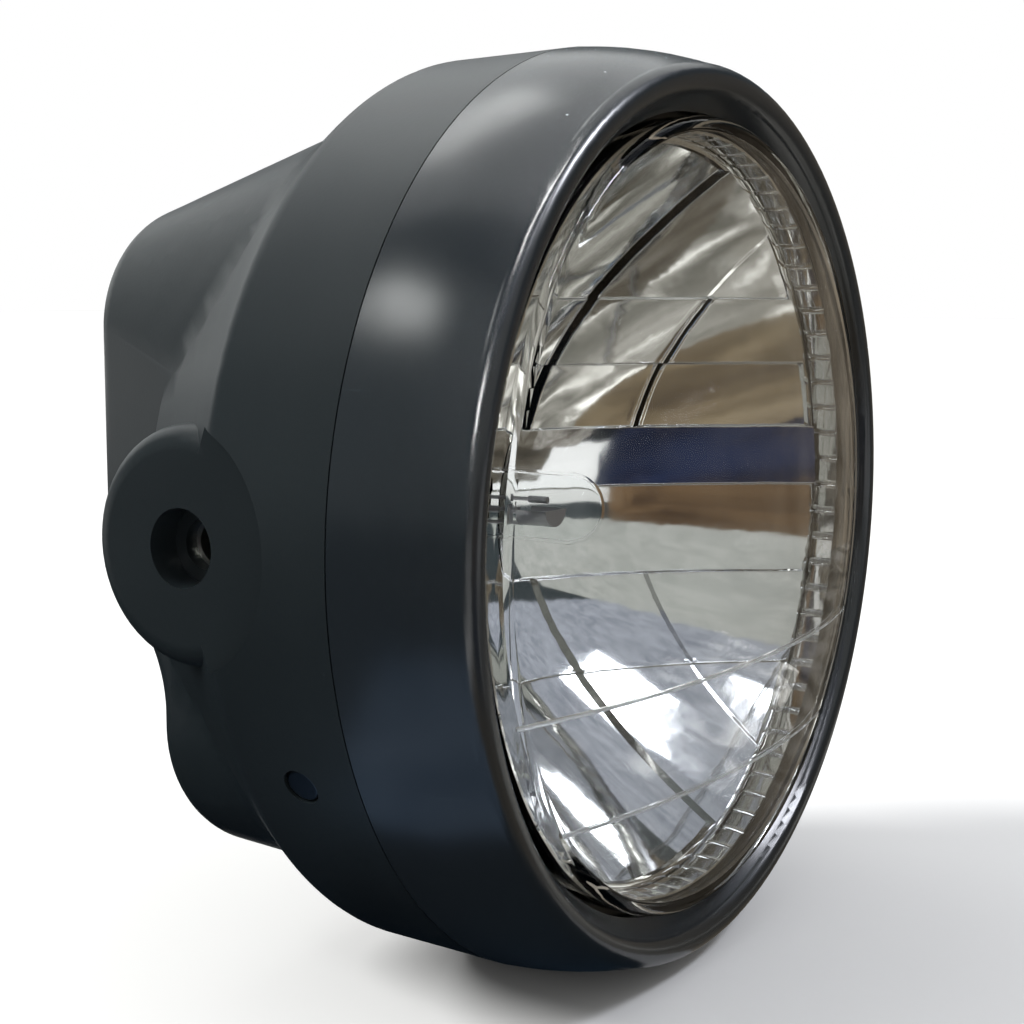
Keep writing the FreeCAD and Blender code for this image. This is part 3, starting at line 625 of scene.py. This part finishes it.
# What shiny surfaces show round the lamp: a dim room, sky and ceiling, walls, and boards on the table
dark_room("#444c50")
board("sky_board", (-0.4, -0.45, 1.25), (2.4, 0, 0), (0, 2.5, 0), "#e4eaea", "#ffffff", glow=1.5)
board("ceiling_board", (-1.5, -1.9, 1.2), (3.0, 0, 0), (0, 1.45, 0), "#868b98", "#b4b9c4", glow=1.35)
board("left_wall", (-0.62, -0.35, 0.02), (0.1, 1.1, 0), (0, 0, 0.70), "#868f92", "#9ca5a7")
board("left_board", (-0.62, -0.35, -0.09), (0.1, 1.1, 0), (0, 0, 0.11), "#10171f")
board("left_table", (-0.62, -0.30, FLOOR_Z + SHEET), (0.60, 0, 0), (0, 0.9, 0), "#0d141c", "#1a2530")
board("blue_glow", (-0.26, -0.13, FLOOR_Z + 2 * SHEET), (0.16, 0, 0), (0, 0.14, 0), "#5d7da3", "#a9c4e6")
board("rear_table", (-0.10, 0.09, FLOOR_Z + SHEET), (1.2, 0, 0), (0, 1.4, 0), "#14191c", "#22282b")
board("navy_board", (-0.055, -0.275, FLOOR_Z), (-0.10, 0.08, 0), (0, 0, 0.068), "#181e33", "#2c3859")
board("brown_board", (-0.062, -0.2694, FLOOR_Z + 0.068), (-0.098, 0.0784, 0), (0, 0, 0.052),
      "#3b2e28", "#8a7054")
board("wall_board", (-1.10, -0.75, 0.10), (1.5, -0.9, 0), (0, 0, 0.75), "#b9bcb8", "#cfd1cd", glow=1.1)
board("near_table", (-0.10, -0.105, FLOOR_Z + SHEET), (0, -0.13, 0), (0.34, 0, 0),
      "#474641", "#65635e", "#7d7b76", "#d8d7d2", glow=3.2, patch=35.0)
board("warm_table", (-0.20, -0.115, FLOOR_Z + 2 * SHEET), (0, -0.13, 0), (0.22, 0, 0),
      "#4b4135", "#6e614d", "#8a7c66", glow=1.6)
board("right_board", (0.62, 0.05, -0.09), (-0.35, -0.60, 0), (0, 0, 0.35), "#5e564a", "#8b8172")
board("right_table", (0.0, -0.60, FLOOR_Z + SHEET / 2), (1.06, 0, 0), (0, 0.75, 0),
      "#4f4a42", "#6f685c", "#97928a")
board("block_table", (-0.035, -0.31, FLOOR_Z + 2 * SHEET), (0.075, 0, 0), (0, 0.07, 0),
      "#3a2f27", "#d9d6cf", "#5b4a3c", "#f4f2ee", patch=14.0)
board("left_strip", (-0.31, -0.28, FLOOR_Z + 3 * SHEET), (0.09, 0, 0), (0, 0.17, 0), "#ffffff", glow=2.5)

# Two bright strips for the thin white line along the lip
board("upper_lip_lamp", (-0.47, -0.35, 0.93), (0.46, 0.11, 0.11), (0, 0.05, 0), "#ffffff", glow=100)
board("lower_lip_lamp", (-0.462, -0.248, 0.196), (0.043, 0.014, 0.078), (-0.008, 0.032, 0),
      "#ffffff", glow=120)

# Windows for the soft patches on the black plastic, and ceiling lamps for the bright ones low in the bowl
softbox("side_window", (-0.50, 0.20, 0.55), LAMP_MIDDLE, (0.24, 0.12), 10.0, WINDOW_WHITE)
softbox("top_window", (0.24, 0.48, 1.08), LAMP_MIDDLE, (0.52, 0.24), 4.0, WINDOW_WHITE)
softbox("rear_window", (0.25, 1.2, 0.40), LAMP_MIDDLE, (0.9, 0.55), 1.2, WINDOW_WHITE)
softbox("ceiling_panel", (0.31, -0.66, 0.76), LOW_BOWL, (0.36, 0.15), 40, CEILING_WHITE)
softbox("left_tube", (-0.03, -0.66, 0.80), LOW_BOWL, (0.36, 0.016), 30, CEILING_WHITE, spin=35)
softbox("right_tube", (-0.14, -0.66, 0.80), LOW_BOWL, (0.36, 0.016), 30, CEILING_WHITE, spin=35)

# Plain colours, and enough bounces for light that goes through the lens and round the bowl
bpy.context.scene.view_settings.view_transform = "Standard"
bpy.context.scene.cycles.max_bounces = 24
bpy.context.scene.cycles.glossy_bounces = 10
bpy.context.scene.cycles.transmission_bounces = 16
